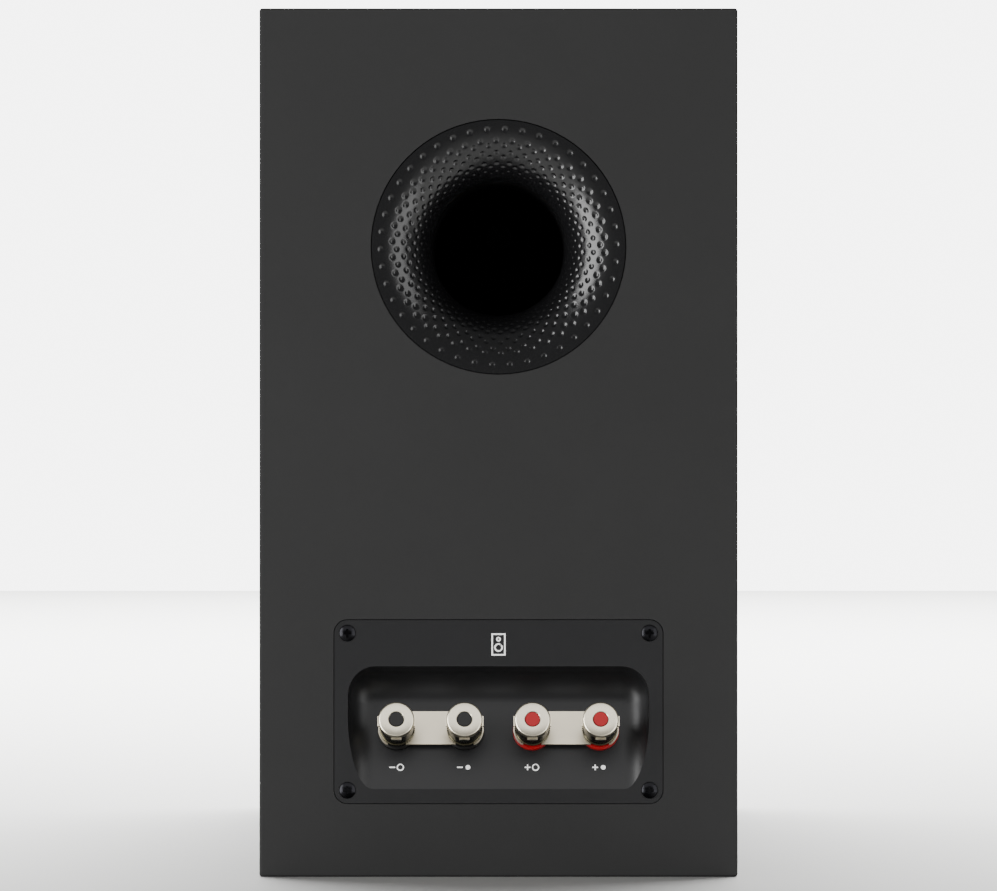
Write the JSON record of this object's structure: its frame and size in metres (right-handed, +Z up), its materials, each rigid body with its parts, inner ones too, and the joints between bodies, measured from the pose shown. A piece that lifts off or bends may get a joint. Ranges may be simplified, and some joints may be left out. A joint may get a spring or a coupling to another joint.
{
  "type": "bookshelf speaker",
  "caption": "Two-way bookshelf speaker with a rear flared port, bi-wire terminals in a slanted recess, and a removable front grille.",
  "frame": {"origin": "centre of the cabinet's bottom face", "axes": "+Z up, -Y out of the front (drivers and grille), +Y out of the back (port and terminals), +X to the right seen from the front"},
  "size_m": [0.19, 0.3245, 0.345],
  "materials": {
    "black_vinyl": "matt black wrapped MDF",
    "raw_mdf": "raw MDF",
    "damping_foam": "open-cell foam",
    "port_plastic": "moulded, matt",
    "tray_plastic": "moulded, finely textured",
    "gasket_foam": "closed-cell foam",
    "black_steel": "black oxide",
    "nickel_brass": "pearl nickel plated",
    "black_insulator": "moulded",
    "red_insulator": "moulded",
    "circuit_board": "glass-fibre laminate",
    "copper_coil": "enamelled copper wire",
    "capacitor_film": "film capacitor",
    "resistor_ceramic": "cement resistor",
    "standoff_nylon": "nylon",
    "basket_casting": "black powder coat on a casting",
    "surround_rubber": "matt",
    "woven_cone": "coated woven fibre",
    "dust_cap": "matt",
    "coil_former": "thin foil and copper",
    "spider_cloth": "treated cotton",
    "motor_steel": "zinc plated",
    "ferrite": "sintered",
    "faceplate_black": "moulded",
    "guard_steel": "perforated, painted",
    "dome_metal": "spun",
    "grille_plastic": "moulded",
    "grille_cloth": "knitted cloth",
    "magnet_nickel": "nickel plated",
    "lead_insulation": "PVC"
  },
  "bodies": {
    "root": {"cabinet_left_side": "black_vinyl", "cabinet_right_side": "black_vinyl", "cabinet_bottom": "black_vinyl", "cabinet_top": "black_vinyl", "cabinet_back": "black_vinyl", "front_baffle": "black_vinyl", "cabinet_brace": "raw_mdf", "damping_foam": "damping_foam", "port_flare_outer": "port_plastic", "port_tube": "port_plastic", "port_flare_inner": "port_plastic", "terminal_tray": "tray_plastic", "terminal_gasket": "gasket_foam", "woofer_gasket": "gasket_foam", "terminal_screws": "black_steel", "woofer_screws": "black_steel", "tweeter_screws": "black_steel", "binding_posts": "nickel_brass", "terminal_nuts": "nickel_brass", "terminal_collars_black": "black_insulator", "terminal_collars_red": "red_insulator", "crossover_board": "circuit_board", "crossover_coils": "copper_coil", "crossover_capacitors": "capacitor_film", "crossover_resistors": "resistor_ceramic", "crossover_standoffs": "standoff_nylon", "woofer_basket": "basket_casting", "woofer_surround": "surround_rubber", "woofer_spider": "spider_cloth", "woofer_top_plate": "motor_steel", "woofer_back_plate": "motor_steel", "woofer_magnet": "ferrite", "tweeter_motor": "ferrite", "tweeter_faceplate": "faceplate_black", "tweeter_guard": "guard_steel", "baffle_magnets": "magnet_nickel", "woofer_leads": "lead_insulation", "tweeter_leads": "lead_insulation"},
    "grille": {"grille_frame": "grille_plastic", "grille_cloth": "grille_cloth", "grille_magnets": "magnet_nickel"},
    "woofer_moving": {"woofer_cone": "woven_cone", "woofer_dust_cap": "dust_cap", "woofer_voice_coil": "coil_former"},
    "tweeter_moving": {"tweeter_dome": "dome_metal", "tweeter_voice_coil": "coil_former"},
    "link_negative": {"link_plate_negative": "nickel_brass"},
    "link_positive": {"link_plate_positive": "nickel_brass"},
    "washer_1": {"terminal_washer_1": "nickel_brass"},
    "cap_1": {"terminal_cap_1": "nickel_brass"},
    "plug_1": {"terminal_plug_1": "black_insulator"},
    "washer_2": {"terminal_washer_2": "nickel_brass"},
    "cap_2": {"terminal_cap_2": "nickel_brass"},
    "plug_2": {"terminal_plug_2": "black_insulator"},
    "washer_3": {"terminal_washer_3": "nickel_brass"},
    "cap_3": {"terminal_cap_3": "nickel_brass"},
    "plug_3": {"terminal_plug_3": "red_insulator"},
    "washer_4": {"terminal_washer_4": "nickel_brass"},
    "cap_4": {"terminal_cap_4": "nickel_brass"},
    "plug_4": {"terminal_plug_4": "red_insulator"}
  },
  "joints": [
    {"name": "grille_pull", "type": "slide", "parent": "root", "child": "grille", "axis": [0, -1, 0], "range_m": [0, 0.1]},
    {"name": "woofer_stroke", "type": "slide", "parent": "root", "child": "woofer_moving", "axis": [0, -1, 0], "range_m": [-0.005, 0.005], "stiffness_N_per_m": 1200, "deforming": ["woofer_surround", "woofer_spider"]},
    {"name": "tweeter_stroke", "type": "slide", "parent": "root", "child": "tweeter_moving", "axis": [0, -1, 0], "range_m": [-0.0003, 0.0003], "stiffness_N_per_m": 500},
    {"name": "link_negative_lift", "type": "slide", "parent": "root", "child": "link_negative", "axis": [0, -0.342, 0.9397], "range_m": [0, 0.011]},
    {"name": "link_positive_lift", "type": "slide", "parent": "root", "child": "link_positive", "axis": [0, -0.342, 0.9397], "range_m": [0, 0.011]},
    {"name": "washer_1_lift", "type": "slide", "parent": "root", "child": "washer_1", "axis": [0, 0.9397, 0.342], "range_m": [0, 0.005]},
    {"name": "cap_1_turn", "type": "hinge", "parent": "washer_1", "child": "cap_1", "pos_m": [0.04035, 0.14196, 0.05698], "axis": [0, 0.9397, 0.342], "range_deg": [0, 1800]},
    {"name": "plug_1_pull", "type": "slide", "parent": "cap_1", "child": "plug_1", "axis": [0, 0.9397, 0.342], "range_m": [0, 0.012]},
    {"name": "washer_2_lift", "type": "slide", "parent": "root", "child": "washer_2", "axis": [0, 0.9397, 0.342], "range_m": [0, 0.005]},
    {"name": "cap_2_turn", "type": "hinge", "parent": "washer_2", "child": "cap_2", "pos_m": [0.01345, 0.14196, 0.05698], "axis": [0, 0.9397, 0.342], "range_deg": [0, 1800]},
    {"name": "plug_2_pull", "type": "slide", "parent": "cap_2", "child": "plug_2", "axis": [0, 0.9397, 0.342], "range_m": [0, 0.012]},
    {"name": "washer_3_lift", "type": "slide", "parent": "root", "child": "washer_3", "axis": [0, 0.9397, 0.342], "range_m": [0, 0.005]},
    {"name": "cap_3_turn", "type": "hinge", "parent": "washer_3", "child": "cap_3", "pos_m": [-0.01345, 0.14196, 0.05698], "axis": [0, 0.9397, 0.342], "range_deg": [0, 1800]},
    {"name": "plug_3_pull", "type": "slide", "parent": "cap_3", "child": "plug_3", "axis": [0, 0.9397, 0.342], "range_m": [0, 0.012]},
    {"name": "washer_4_lift", "type": "slide", "parent": "root", "child": "washer_4", "axis": [0, 0.9397, 0.342], "range_m": [0, 0.005]},
    {"name": "cap_4_turn", "type": "hinge", "parent": "washer_4", "child": "cap_4", "pos_m": [-0.04035, 0.14196, 0.05698], "axis": [0, 0.9397, 0.342], "range_deg": [0, 1800]},
    {"name": "plug_4_pull", "type": "slide", "parent": "cap_4", "child": "plug_4", "axis": [0, 0.9397, 0.342], "range_m": [0, 0.012]}
  ],
  "couplings": [
    {"joint": "washer_1_lift", "follows": "cap_1_turn", "m_per_rad": 0.000159},
    {"joint": "washer_2_lift", "follows": "cap_2_turn", "m_per_rad": 0.000159},
    {"joint": "washer_3_lift", "follows": "cap_3_turn", "m_per_rad": 0.000159},
    {"joint": "washer_4_lift", "follows": "cap_4_turn", "m_per_rad": 0.000159}
  ]
}
